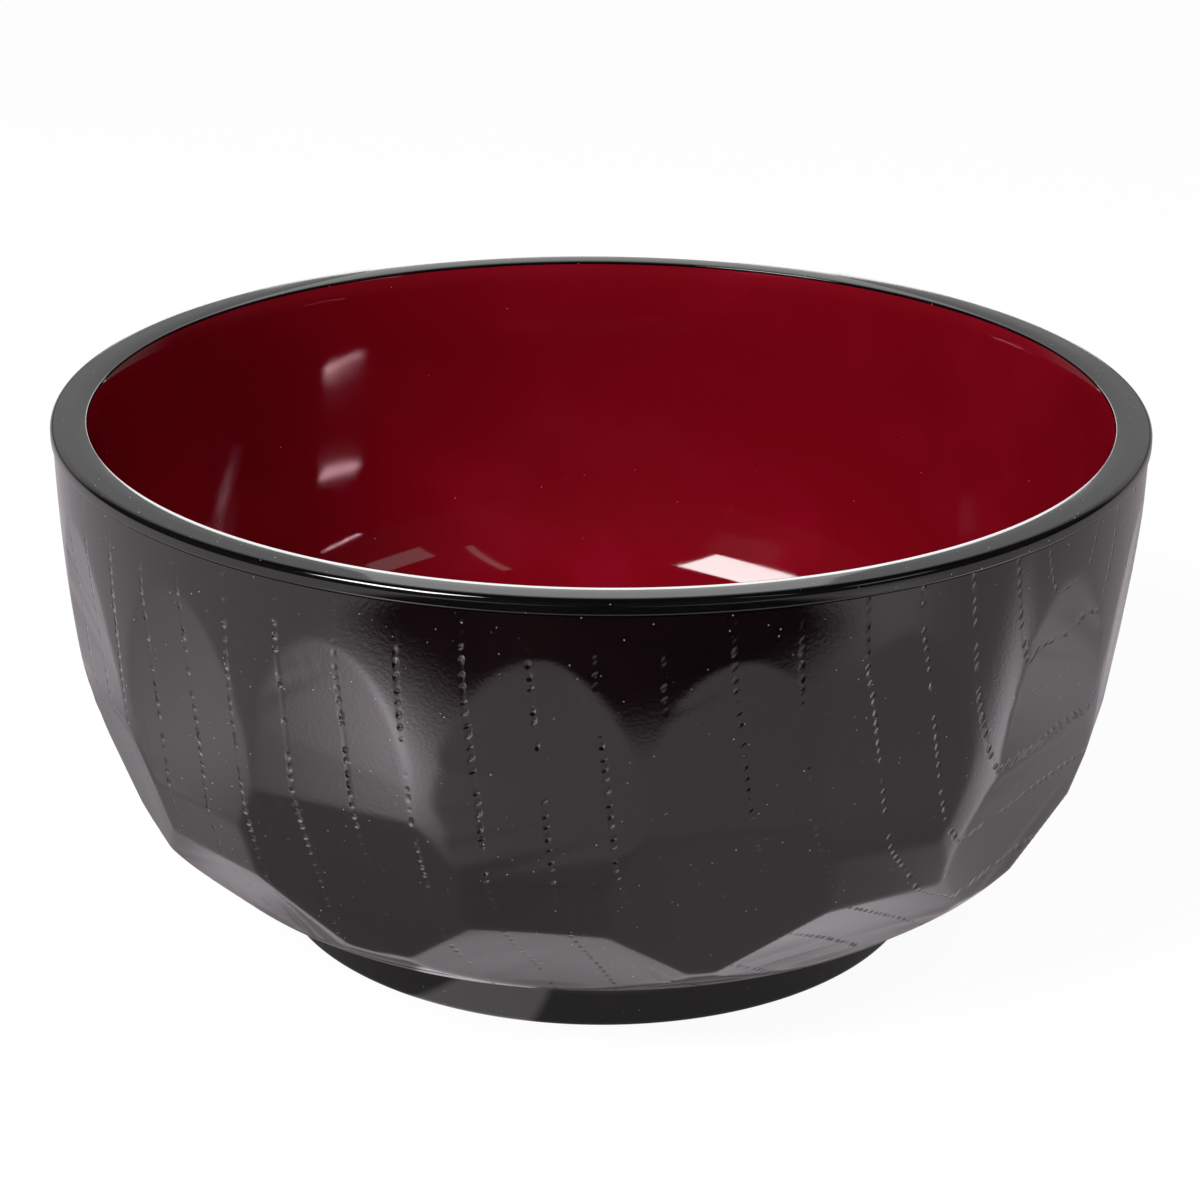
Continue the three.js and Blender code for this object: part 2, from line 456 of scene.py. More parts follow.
@dataclass(frozen=True)
class PoreRows:
    """Rows of wood pores where upright growth sheets meet the carved surface, with a painted highlight on
    some pit rims.
    """

    label: str = "pore_rows"
    sheet_azimuth: float = 52.5
    wall_radius: float = 59.6 * MM
    row_pitch: float = 6.25
    wander_pitch: float = 30.0 * MM
    wander: float = 0.35
    pore_pitch: float = 1.45 * MM
    half_width: float = 0.42 * MM
    half_length: float = 0.75 * MM
    uneven: float = 0.35
    shortest: float = 0.55
    length_spread: float = 0.6
    missing_edge: Point = (0.15, 0.3)
    rim_edge: Point = (0.1, 0.5)
    thread: float = 0.08
    patch_pitch: float = 17.0 * MM
    patch_step: float = 3.1
    patch_edge: Point = (0.34, 0.55)
    band_edge: Point = (50.0 * MM, 53.5 * MM)
    band_share: float = 0.12
    low_edge: Point = (23.0 * MM, 31.0 * MM)
    low_share: float = 0.2
    grazing_edge: Point = (0.84, 0.93)
    grazing_share: float = 0.9
    right_edge: Point = (0.0, 30.0 * MM)
    right_share: float = 0.5
    painted_glint_sides: Point = (-35.0 * MM, 0.0)
    painted_glint_shares: Point = (0.75, 0.3)

    def group(self) -> bpy.types.NodeTree:
        """Builds the effect's node group once and returns it."""
        if self.label in bpy.data.node_groups:
            return bpy.data.node_groups[self.label]
        desk, given, wanted = new_effect(self.label, {"Place": "NodeSocketVector"}, ("Pores", "Painted Glints"))
        place = given["Place"]
        x, y, z = desk.split(place)
        cosine, sine = heading(self.sheet_azimuth)
        across = desk.math("SUBTRACT", desk.times(x, sine), desk.times(y, cosine))
        along = desk.math("ADD", desk.times(x, cosine), desk.times(y, sine))
        row, gap = self.nearest_row(desk, place, across)
        path = desk.math("MULTIPLY_ADD", desk.math("SIGN", along), z, along)
        # Painted highlight on pit rims: more pits and brighter ones towards the left, where the main
        # lamps are
        painted_glint_share = desk.fade(x, *self.painted_glint_sides, *self.painted_glint_shares)
        pit, painted_glint = self.pit(desk, row, gap, path, painted_glint_share)
        line = desk.fade(gap, 0.0, self.half_width, self.thread, 0.0)
        patch_place = desk.vector(along, z, desk.times(row, self.patch_step * self.patch_pitch))
        patch = desk.fade(desk.noise(patch_place, self.patch_pitch), *self.patch_edge)
        upper = desk.fade(z, *self.band_edge, 1.0, self.band_share)
        height = desk.fade(z, *self.low_edge, self.low_share, upper)
        # Rows run unbroken where the growth sheets graze the wall
        facing = desk.math("DIVIDE", across, desk.reach(x, y))
        grazing = desk.fade(facing, *self.grazing_edge, 0.0, self.grazing_share)
        share = desk.math("MAXIMUM", desk.times(patch, height), grazing)
        share = desk.times(share, desk.fade(x, *self.right_edge, 1.0, self.right_share))
        desk.feed(wanted["Pores"], desk.times(desk.math("MAXIMUM", pit, line), share))
        desk.feed(wanted["Painted Glints"], desk.times(painted_glint, share))
        return desk.tree

    def nearest_row(self, desk: NodeDesk, place: Socket, across: Socket) -> tuple[Socket, Socket]:
        """Finds the nearest row.

        Args:
            desk: the group's desk.
            place: the coordinates.
            across: the distance from the sheet through the axis.

        Returns:
            The row's number, and the distance to it along the surface in metres.
        """
        pitch = math.radians(self.row_pitch)
        share = desk.math("DIVIDE", across, self.wall_radius)
        angle = desk.math("ARCSINE", desk.math("MINIMUM", desk.math("MAXIMUM", share, -1.0), 1.0))
        noise = desk.noise(place, self.wander_pitch)
        wander = desk.math("MULTIPLY_ADD", noise, self.wander, -self.wander / 2.0)
        count = desk.math("MULTIPLY_ADD", angle, 1.0 / pitch, wander)
        row = desk.math("ROUND", count)
        gap = desk.math("ABSOLUTE", desk.math("SUBTRACT", count, row))
        return row, desk.times(gap, pitch * self.wall_radius)

    def pit(
        self, desk: NodeDesk, row: Socket, gap: Socket, path: Socket, painted_glint_share: Socket
    ) -> tuple[Socket, Socket]:
        """Cuts a row into uneven oval pits.

        Args:
            desk: the group's desk.
            row: the row's number.
            gap: the distance to the row's line.
            path: the length along the row.
            painted_glint_share: the share of pits whose rims get a painted highlight, and how bright it
                is.

        Returns:
            The pits' depth and a painted highlight on some of their rims, from 0 to 1.
        """
        steps = desk.math("DIVIDE", path, self.pore_pitch)
        cell = desk.math("FLOOR", steps)
        lot = desk.add("ShaderNodeTexWhiteNoise")
        desk.feed(lot.inputs["Vector"], desk.vector(row, cell, 0.0))
        shift, length, chance = desk.split(lot.outputs["Color"])
        centre = desk.math("MULTIPLY_ADD", shift, self.uneven, 0.5 - self.uneven / 2.0)
        off = desk.math("SUBTRACT", desk.math("SUBTRACT", steps, cell), centre)
        reach = desk.math("MULTIPLY_ADD", length, self.length_spread, self.shortest)
        off = desk.math("DIVIDE", desk.times(off, self.pore_pitch / self.half_length), reach)
        side = desk.math("DIVIDE", gap, self.half_width)
        oval = desk.math("ADD", desk.times(off, off), desk.times(side, side))
        depth = desk.fade(desk.math("SQRT", oval), 0.0, 1.0, 1.0, 0.0)
        depth = desk.times(depth, desk.fade(chance, *self.missing_edge))
        rim = desk.times(depth, desk.fade(off, *self.rim_edge))
        chosen = desk.math("LESS_THAN", shift, painted_glint_share)
        return depth, desk.times(rim, desk.times(chosen, painted_glint_share))


@dataclass(frozen=True)
class Lacquer:
    """High-gloss lacquer, with wood pores under it where the wall has them, and a painted highlight on
    some pore rims.
    """

    name: str
    colour: Colour
    deep_colour: Colour
    gloss: float = 0.05
    smudge: float = 0.05
    index: float = 1.75
    ripple_depth: float = 0.002 * MM
    grain_depth: float = 0.0
    pore_depth: float = 0.0
    speck_share: float = 0.9
    speck_colour: Colour = (0.6, 0.58, 0.58)
    painted_glint_colour: Colour = (0.7, 0.66, 0.67)

    def material(self) -> bpy.types.Material:
        """Builds the finish's material.

        Returns:
            The material, with grain and pores only where their depths aren't zero.
        """
        material = bpy.data.materials.new(self.name)
        material.use_nodes = True
        desk = NodeDesk(material.node_tree)
        shader = material.node_tree.nodes["Principled BSDF"]
        place = desk.add("ShaderNodeTexCoord").outputs["Object"]
        skin = desk.effect(LacquerSkin().group(), **{"Place": place, "Speck Share": self.speck_share})
        smudge = skin.outputs["Smudge"]
        tone = desk.mix(smudge, (*self.colour, 1.0), (*self.deep_colour, 1.0))
        tone = desk.mix(skin.outputs["Specks"], tone, (*self.speck_colour, 1.0))
        desk.feed(shader.inputs["Roughness"], desk.math("MULTIPLY_ADD", smudge, self.smudge, self.gloss))
        shader.inputs["IOR"].default_value = self.index
        bump = desk.add("ShaderNodeBump")
        bump.inputs["Strength"].default_value = 1.0
        bump.inputs["Distance"].default_value = BUMP_UNIT
        height = desk.times(skin.outputs["Ripple"], self.ripple_depth / BUMP_UNIT)
        if self.grain_depth > 0.0:
            grain = skin.outputs["Grain"]
            height = desk.math("MULTIPLY_ADD", grain, self.grain_depth / BUMP_UNIT, height)
        if self.pore_depth > 0.0:
            rows = desk.effect(PoreRows().group(), Place=place)
            pores = rows.outputs["Pores"]
            height = desk.math("MULTIPLY_ADD", pores, -self.pore_depth / BUMP_UNIT, height)
            # Painted highlight: some pore rims are lightened in the base colour
            tone = desk.mix(rows.outputs["Painted Glints"], tone, (*self.painted_glint_colour, 1.0))
        desk.feed(shader.inputs["Base Color"], tone)
        desk.feed(bump.inputs["Height"], height)
        desk.feed(shader.inputs["Normal"], bump.outputs["Normal"])
        return material


BLACK_PLAIN = Lacquer(
    name="black_lacquer_plain",
    colour=(0.003, 0.0025, 0.003),
    deep_colour=(0.004, 0.003, 0.0035),
)
BLACK_PORED = Lacquer(
    name="black_lacquer_pored",
    colour=(0.005, 0.0018, 0.0024),
    deep_colour=(0.007, 0.0026, 0.0034),
    grain_depth=0.009 * MM,
    pore_depth=0.2 * MM,
)
RED_GLOSS = Lacquer(
    name="red_lacquer_gloss",
    colour=(0.2, 0.002, 0.008),
    deep_colour=(0.23, 0.003, 0.012),
    index=1.5,
    speck_share=0.05,
)


# Pieces


@dataclass
class BowlFrame:
    """Main sizes of the bowl in millimetres."""

    rim_radius: float
    height: float
    skirt_bottom: float
    wall_top: float
    recess_height: float
    foot_radius: float
    tenon_top: float
    lining_top: float
    lining_radius: float
    clearance: float = 0.3

    @property
    def lip_inner(self) -> float:
        """Radius of the lip's inner face, a gap outside the lining."""
        return self.lining_radius + self.clearance

    @property
    def lip_bottom(self) -> float:
        """Height of the lip's lower face, a gap above the wall."""
        return self.wall_top + self.clearance

    @classmethod
    def read(cls) -> "BowlFrame":
        """Reads the sizes from the CAD nodes' boxes."""
        rim_low, rim_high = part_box("rim_band")
        cup_low, cup_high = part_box("bowl_body")
        foot_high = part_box("foot_ring")[1]
        lining_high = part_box("red_lining")[1]
        return cls(
            rim_radius=rim_high.x / MM,
            height=rim_high.z / MM,
            skirt_bottom=rim_low.z / MM,
            wall_top=cup_high.z / MM,
            recess_height=cup_low.z / MM,
            foot_radius=foot_high.x / MM,
            tenon_top=foot_high.z / MM,
            lining_top=lining_high.z / MM,
            lining_radius=lining_high.x / MM,
        )


@dataclass
class TurnedPiece:
    """A piece turned about the bowl's axis, which stands for one CAD node."""

    frame: BowlFrame
    name: str
    node: str
    slot: Slot
    finish: Lacquer
    steps: int = 288
    sharpest: float = 40.0

    def section(self) -> list[Point]:
        """Draws the piece's section, which each piece gives for itself."""
        raise NotImplementedError

    def shape(self) -> bpy.types.Object:
        """Turns the section into the piece's mesh."""
        return turn_section(self.name, self.section(), self.steps)

    def dress(self, piece: bpy.types.Object) -> None:
        """Gives the piece its finish and its place in the frame."""
        shade(piece, self.sharpest)
        piece.data.materials.append(self.finish.material())
        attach(piece, "root")
        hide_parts(self.node)

    def make(self) -> bpy.types.Object:
        """Shapes and dresses the piece, and returns it."""
        piece = self.shape()
        self.dress(piece)
        return piece


@dataclass
class Lining(TurnedPiece):
    """Red inside: an even shell that meets the lip in a clean circle."""

    thickness: float = 0.8
    floor_height: float = 10.0
    floor_spread: float = 3.0
    corner_height: float = 7.0
    flare: float = 0.75
    flare_height: float = 9.0
    edge_drop: float = 0.15
    lip_gap: float = 0.06
    rows: int = 90
    back_stride: int = 3

    def inner_line(self) -> list[Point]:
        """Draws the red surface from the middle of the floor to the mouth."""
        mouth = self.frame.lining_radius - self.thickness
        top = self.frame.lining_top
        corners = (
            (0.0, self.floor_height),
            (mouth - self.floor_spread, self.floor_height),
            (mouth, self.floor_height + self.corner_height),
            (mouth, top),
        )
        return evened(bezier(corners, CURVE_FINENESS * self.rows), self.rows)

    def section(self) -> list[Point]:
        """Draws the shell: the red surface up, out to the lip at its edge, and the back down."""
        inner = self.inner_line()
        top = self.frame.lining_top - self.edge_drop
        face = []
        for radius, height in inner:
            rise = max(0.0, (height - top + self.flare_height) / self.flare_height)
            if height < top:
                face.append((radius + self.flare * rise * rise, height))
        outer = self.frame.lip_inner - self.lip_gap
        back = [spot for spot in outset(inner, self.thickness) if spot[1] < self.frame.skirt_bottom]
        step = [(outer, top), (outer, self.frame.skirt_bottom + self.thickness)]
        middle = (0.0, self.floor_height - self.thickness)
        return [*face, *step, *reversed(back[::self.back_stride]), middle]


@dataclass
class Lip(TurnedPiece):
    """Smooth black ring on the mouth, with a skirt in the cup's rebate."""

    outer_rounding: float = 0.7
    outer_lean: float = 1.0
    inner_rounding: float = 0.15
    inner_lean: float = 11.0
    crest_inset: float = 1.9
    lower_rounding: float = 0.25
    skirt_thickness: float = 1.0
    rounding_steps: int = 10

    @staticmethod
    def slope(width: float, rounding: float, lean: float) -> Point:
        """Measures one side of the crown, which leans more and more towards its edge.

        Args:
            width: the distance from the crest to the edge.
            rounding: the edge's rounding.
            lean: the crown's lean where the rounding starts, in degrees.

        Returns:
            The side's run and its fall.
        """
        run = width - rounding * (1.0 - math.sin(math.radians(lean)))
        return run, run * math.tan(math.radians(lean)) / 2.0

    def section(self) -> list[Point]:
        """Draws the ring's closed section, from the skirt's inner corner outwards."""
        rim = self.frame.rim_radius
        top = self.frame.height
        inner = self.frame.lip_inner
        bottom = self.frame.lip_bottom
        skirt = inner + self.skirt_thickness
        crest = inner + self.crest_inset
        steps = self.rounding_steps
        outer_run, outer_fall = self.slope(rim - crest, self.outer_rounding, self.outer_lean)
        inner_run, inner_fall = self.slope(crest - inner, self.inner_rounding, self.inner_lean)
        outer_depth = self.outer_rounding * math.cos(math.radians(self.outer_lean))
        inner_depth = self.inner_rounding * math.cos(math.radians(self.inner_lean))
        outer_centre = (rim - self.outer_rounding, top - outer_fall - outer_depth)
        inner_centre = (inner + self.inner_rounding, top - inner_fall - inner_depth)
        lower_centre = (rim - self.lower_rounding, bottom + self.lower_rounding)
        crown = []
        for step in range(1 - steps, steps):
            share = step / steps
            run, fall = (outer_run, outer_fall) if share < 0.0 else (inner_run, inner_fall)
            crown.append((crest - run * share, top - fall * share * share))
        return [
            (inner, self.frame.skirt_bottom),
            (skirt, self.frame.skirt_bottom),
            (skirt, bottom),
            *arc(lower_centre, self.lower_rounding, -90.0, 0.0, steps),
            *arc(outer_centre, self.outer_rounding, 0.0, 90.0 - self.outer_lean, 2 * steps),
            *crown,
            *arc(inner_centre, self.inner_rounding, 90.0 + self.inner_lean, 180.0, steps),
            (inner, self.frame.skirt_bottom),
        ]


@dataclass
class Foot(TurnedPiece):
    """Plain turned ring that the bowl stands on, with its tenon in the cup's groove."""

    width: float = 3.8
    rounding: float = 0.8
    rounding_steps: int = 8

    def section(self) -> list[Point]:
        """Draws the ring's closed section, from the tenon's inner corner down."""
        outer = self.frame.foot_radius
        inner = outer - self.width
        top = self.frame.tenon_top
        steps = self.rounding_steps
        return [
            (inner, top),
            *arc((inner + self.rounding, self.rounding), self.rounding, 180.0, 270.0, steps),
            *arc((outer - self.rounding, self.rounding), self.rounding, 270.0, 360.0, steps),
            (outer, top),
            (inner, top),
        ]


@dataclass(frozen=True)
class FacetColumn:
    """One column of flat facets, whose section is a broken line from the arch's top down."""

    azimuth: float
    section: tuple[Point, ...]

    def planes(self) -> list[tuple[Vector, Vector]]:
        """Finds the plane of each facet.

        Returns:
            A point in metres and the outward normal of each plane.
        """
        cosine, sine = heading(self.azimuth)
        outward = Vector((sine, -cosine, 0.0))
        planes = []
        for upper, lower in zip(self.section, self.section[1:]):
            place = outward * upper[0] * MM + Vector((0.0, 0.0, upper[1] * MM))
            normal = outward * (upper[1] - lower[1]) + Vector((0.0, 0.0, lower[0] - upper[0]))
            planes.append((place, normal.normalized()))
        return planes


@dataclass
class Cup(TurnedPiece):
    """Black cup, turned and then carved all round with flat facets whose ridges are polished soft."""

    steps: int = 640
    wall_rows: int = 104
    hidden_rows: int = 12
    lip_overhang: float = 0.25
    lip_seam: float = 0.12
    skirt_thickness: float = 1.0
    foot_height: float = 6.6
    foot_width: float = 3.8
    underside_reach: float = 9.5
    underside_rise: float = 3.05
    edge_rounding: float = 0.6
    edge_pull: float = 5.9
    edge_angle: float = 43.0
    wall_pull: float = 3.7
    wall_lean: float = 0.7
    floor_height: float = 8.9
    inside_spread: float = 3.0
    inside_corner: float = 8.0
    fillet_steps: int = 5
    column_count: int = 9
    long_azimuth: float = -7.2
    short_azimuth: float = 13.3
    long_drift: float = 3.3
    drift_swings: int = 3
    drift_column: int = 1
    arch_drift: float = 0.4
    smooth_band: float = 3.5
    short_arch_drop: float = 0.4
    lower_row: float = 11.0
    quad_row: float = 6.5
    hexagon_point: float = 4.6
    hexagon_row: float = 18.35
    quad_top_depth: float = 3.05
    quad_bottom_depth: float = 5.1
    hexagon_top_depth: float = 2.3
    hexagon_point_depth: float = 7.95
    hollow_depth: float = 0.42
    hollow_reach: float = 2.0
    hollow_span: float = 40.0
    polish_factor: float = 0.5
    polish_repeats: int = 2

    @property
    def wall_radius(self) -> float:
        """Radius of the uncarved wall at its top."""
        return self.frame.rim_radius - self.lip_overhang

    @property
    def edge(self) -> Point:
        """Lower edge of the wall, as radius and height."""
        return self.frame.foot_radius + self.underside_reach, self.foot_height + self.underside_rise

    def wall(self) -> list[Point]:
        """Draws the uncarved wall from its lower edge to the seam under the lip."""
        radius, height = self.edge
        cosine, sine = heading(self.edge_angle)
        pull = (radius + self.edge_pull * cosine, height + self.edge_pull * sine)
        belly = (self.wall_radius - self.wall_lean, height + self.wall_pull)
        corners = ((radius, height), pull, belly, (self.wall_radius, self.frame.wall_top))
        seam = (self.wall_radius, self.frame.lip_bottom - self.lip_seam)
        return evened([*bezier(corners, CURVE_FINENESS * self.wall_rows), seam], self.wall_rows)

    def columns(self) -> list[FacetColumn]:
        """Lays out the long arches and the short arches with their hexagons."""
        wall = self.wall()
        edge_radius, edge_height = self.edge
        arch_top = self.frame.wall_top - self.smooth_band
        lower_top = edge_height + self.lower_row
        point_height = edge_height + self.hexagon_point
        pitch = 360.0 / self.column_count
        columns = []
        for column in range(self.column_count):
            swing = math.cos(math.radians(self.drift_swings * (column - self.drift_column) * pitch))
            long_top = arch_top - self.arch_drift * swing
            short_top = arch_top - self.short_arch_drop + self.arch_drift * swing
            long_section = (
                (radius_at(wall, long_top), long_top),
                (self.wall_radius - self.quad_top_depth, lower_top + self.quad_row),
                (self.wall_radius - self.quad_bottom_depth, lower_top),
                (edge_radius, edge_height),
            )
            short_section = (
                (radius_at(wall, short_top), short_top),
                (self.wall_radius - self.hexagon_top_depth, point_height + self.hexagon_row),
                (self.wall_radius - self.hexagon_point_depth, point_height),
            )
            long_angle = self.long_azimuth - self.long_drift * swing + column * pitch
            columns.append(FacetColumn(long_angle, long_section))
            columns.append(FacetColumn(self.short_azimuth + column * pitch, short_section))
        return columns

    def carve_block(self) -> bpy.types.Object:
        """Turns the wall as a solid block and cuts every facet from it.

        Returns:
            The block, with crisp ridges.
        """
        wall = self.wall()
        section = [(0.0, wall[0][1]), *wall, (0.0, wall[-1][1])]
        block = turn_section("facet_block", section, self.steps // 2)
        pick(block)
        bpy.ops.object.mode_set(mode="EDIT")
        for column in self.columns():
            for place, normal in column.planes():
                bpy.ops.mesh.select_all(action="SELECT")
                bpy.ops.mesh.bisect(plane_co=place, plane_no=normal, use_fill=True, clear_outer=True)
        bpy.ops.object.mode_set(mode="OBJECT")
        return block

    def section(self) -> list[Point]:
        """Draws the cup: underside, groove, lower edge, wall, rebate and the inside behind the lining."""
        gap = self.frame.clearance
        groove_inner = self.frame.foot_radius - self.foot_width - gap
        groove_outer = self.frame.foot_radius + gap
        groove_top = self.frame.tenon_top + gap
        lip_inner = self.frame.lip_inner
        rebate = lip_inner + self.skirt_thickness + gap
        rebate_floor = self.frame.skirt_bottom - gap
        wall = self.wall()
        edge_radius, edge_height = self.edge
        slope = math.atan2(self.underside_rise, edge_radius - groove_outer)
        start = (
            edge_radius - self.edge_rounding * math.cos(slope),
            edge_height - self.edge_rounding * math.sin(slope),
        )
        kept = [spot for spot in wall if math.dist(spot, wall[0]) > self.edge_rounding]
        fillet = bezier((start, wall[0], wall[0], kept[0]), self.fillet_steps)
        inside_corners = (
            (0.0, self.floor_height),
            (lip_inner - self.inside_spread, self.floor_height),
            (lip_inner, self.floor_height + self.inside_corner),
            (lip_inner, rebate_floor),
        )
        return [
            (0.0, self.frame.recess_height),
            (groove_inner / 2.0, self.frame.recess_height),
            (groove_inner, self.frame.recess_height),
            (groove_inner, groove_top),
            (groove_outer, groove_top),
            (groove_outer, self.foot_height),
            *fillet[:-1],
            *kept,
            (rebate, wall[-1][1]),
            (rebate, rebate_floor),
            *reversed(bezier(inside_corners, self.hidden_rows)),
        ]

    def hollow_weight(self) -> Callable[[bpy.types.MeshVertex], float]:
        """Finds how far each facet is scooped below its plane.

        Returns:
            A weight that is 1 in the middle of a facet and 0 on its ridges and off the facets.
        """
        wall = self.wall()
        low = self.edge[1] + self.edge_rounding
        columns = [(*heading(column.azimuth), column.planes()) for column in self.columns()]
        span = math.cos(math.radians(self.hollow_span))

        def weigh(vertex: bpy.types.MeshVertex) -> float:
            """Weighs one vertex by its nearness to the uncarved wall and to other facets."""
            place = vertex.co
            height = place.z / MM
            radius = math.hypot(place.x, place.y)
            if height < low or place.x * vertex.normal.x + place.y * vertex.normal.y < 0.0:
                return 0.0
            below = radius_at(wall, height) - radius / MM
            gaps = []
            for cosine, sine, planes in columns:
                facing = (place.x * sine - place.y * cosine) / radius
                if facing > span:
                    gaps.extend((spot - place).dot(normal) / MM for spot, normal in planes)
            gaps.sort()
            # The smallest gap is to the vertex's own facet, and the uncarved wall takes its place
            gaps[0] = below
            return math.prod(1.0 - math.exp(-max(gap, 0.0) / self.hollow_reach) for gap in gaps)

        return weigh

    def shape(self) -> bpy.types.Object:
        """Lays a fine skin on the carved block, scoops the facets and polishes their ridges soft.

        Returns:
            The carved cup.
        """
        skin = turn_section(self.name, self.section(), self.steps)
        low = self.edge[1] + self.edge_rounding
        high = self.frame.wall_top

        def weigh(vertex: bpy.types.MeshVertex) -> float:
            """Gives 1 on the outer wall, 0 elsewhere, with a short ramp at its two ends."""
            place, normal = vertex.co, vertex.normal
            height = place.z / MM
            if place.x * normal.x + place.y * normal.y < 0.0:
                return 0.0
            rise = (height - low) / self.edge_rounding
            drop = (high - height) / self.edge_rounding
            return max(0.0, min(1.0, rise, drop))

        mark_group(skin, "carved", weigh)
        block = self.carve_block()
        wrap = skin.modifiers.new("facets", "SHRINKWRAP")
        wrap.target = block
        wrap.vertex_group = "carved"
        apply_modifier(skin, wrap)
        mark_group(skin, "hollow", self.hollow_weight())
        hollow = skin.modifiers.new("hollow", "DISPLACE")
        hollow.mid_level = 0.0
        hollow.strength = -self.hollow_depth * MM
        hollow.vertex_group = "hollow"
        apply_modifier(skin, hollow)
        polish = skin.modifiers.new("polish", "SMOOTH")
        polish.factor = self.polish_factor
        polish.iterations = self.polish_repeats
        polish.vertex_group = "carved"
        apply_modifier(skin, polish)
        bpy.data.objects.remove(block)
        return skin


# Stage


class Shows(Enum):
    """What a lamp does, with the first and last mirror images that it shows in."""

    LIGHT = (0, 0)
    FIRST_MIRROR = (1, 1)
    LATER_MIRROR = (2, 3)


@dataclass(frozen=True)
class Lamp:
    """A soft rectangular lamp that the camera doesn't see, aimed at the bowl."""

    name: str
    azimuth: float
    elevation: float
    distance: float
    width: float
    height: float
    power: float
    shows: Shows = Shows.LIGHT
    colour: Colour = (1.0, 1.0, 1.0)
    aim: tuple[float, float, float] = (0.0, 0.0, 0.03)

    def light(self) -> None:
        """Adds the lamp, turned towards its aim."""
        data = bpy.data.lights.new(self.name, "AREA")
        data.shape = "RECTANGLE"
        data.size = self.width
        data.size_y = self.height
        data.energy = self.power
        data.color = self.colour
        lamp = bpy.data.objects.new(self.name, data)
        bpy.context.scene.collection.objects.link(lamp)
        cosine, sine = heading(self.azimuth)
        level, rise = heading(self.elevation)
        away = Vector((sine * level, -cosine * level, rise))
        lamp.location = Vector(self.aim) + away * self.distance
        lamp.rotation_euler = away.to_track_quat("Z", "Y").to_euler()
        lamp.visible_camera = False
        lamp.visible_glossy = self.shows is not Shows.LIGHT
        lamp.visible_diffuse = self.shows is Shows.LIGHT
        if self.shows is not Shows.LIGHT:
            self.limit_mirrors(data)

    def limit_mirrors(self, data: bpy.types.AreaLight) -> None:
        """Lets the lamp show in its own mirror images alone."""
        first, last = self.shows.value
        data.use_nodes = True
        desk = NodeDesk(data.node_tree)
        depth = desk.add("ShaderNodeLightPath").outputs["Glossy Depth"]
        shown = desk.math("COMPARE", depth, (first + last) / 2.0, (last - first + 1) / 2.0)
        desk.feed(data.node_tree.nodes["Emission"].inputs["Strength"], shown)


@dataclass(frozen=True)
class GlowSpot:
    """A painted soft oval of light on the table, seen only in the gloss, in metres."""

    place: Point
    turn: float
    size: Point
    level: float

    def paint(self, desk: NodeDesk, x: Socket, y: Socket) -> Socket:
        """Paints the oval.

        Args:
            desk: the table material's desk.
            x: the place's first coordinate.
            y: the place's second coordinate.

        Returns:
            The oval's brightness, fading out from its middle.
        """
        cosine, sine = heading(self.turn)
        off_x = desk.math("SUBTRACT", x, self.place[0])
        off_y = desk.math("SUBTRACT", y, self.place[1])
        total = 0.0
        for size, share_x, share_y in ((self.size[0], cosine, sine), (self.size[1], -sine, cosine)):
            part = desk.times(off_x, share_x / size)
            part = desk.math("MULTIPLY_ADD", off_y, share_y / size, part)
            total = desk.math("MULTIPLY_ADD", part, part, total)
        fading = desk.math("EXPONENT", desk.times(total, -1.0))
        return desk.times(fading, self.level)


